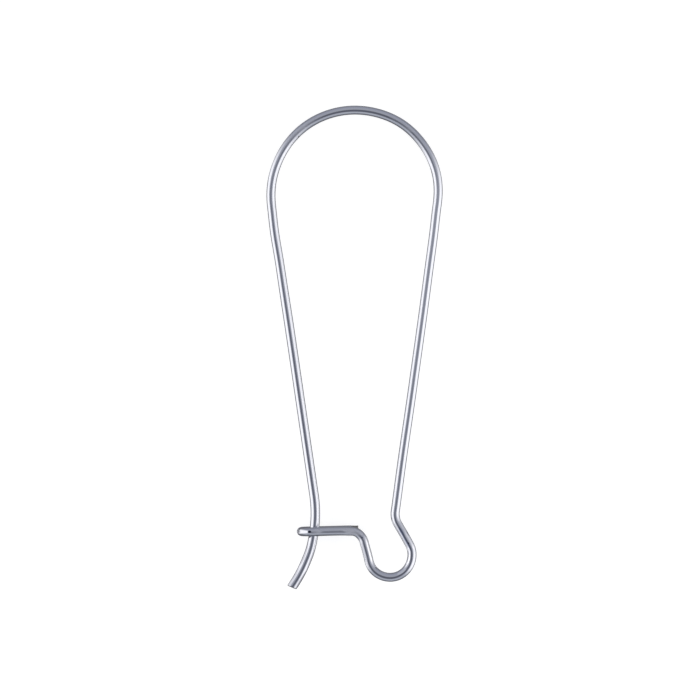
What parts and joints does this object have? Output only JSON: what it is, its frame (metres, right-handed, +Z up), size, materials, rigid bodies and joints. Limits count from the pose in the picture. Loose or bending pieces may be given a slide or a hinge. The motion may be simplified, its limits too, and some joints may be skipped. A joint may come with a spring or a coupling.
{
  "type": "kidney ear wire",
  "caption": "Kidney ear wire: round wire bent to a long teardrop with a hanging loop and a hairpin catch that holds the sprung post.",
  "frame": {"origin": "middle of the bounding box on the plane that the wire lies on", "axes": "+Y along the teardrop from the catch to the crest of the arch, +Z up from that plane with the catch's front strand uppermost, +X towards the leg with the hanging loop"},
  "size_m": [0.0138, 0.038, 0.0029],
  "materials": {
    "steel": "bright drawn and polished"
  },
  "bodies": {
    "root": {"ear_wire": "steel"}
  },
  "joints": []
}
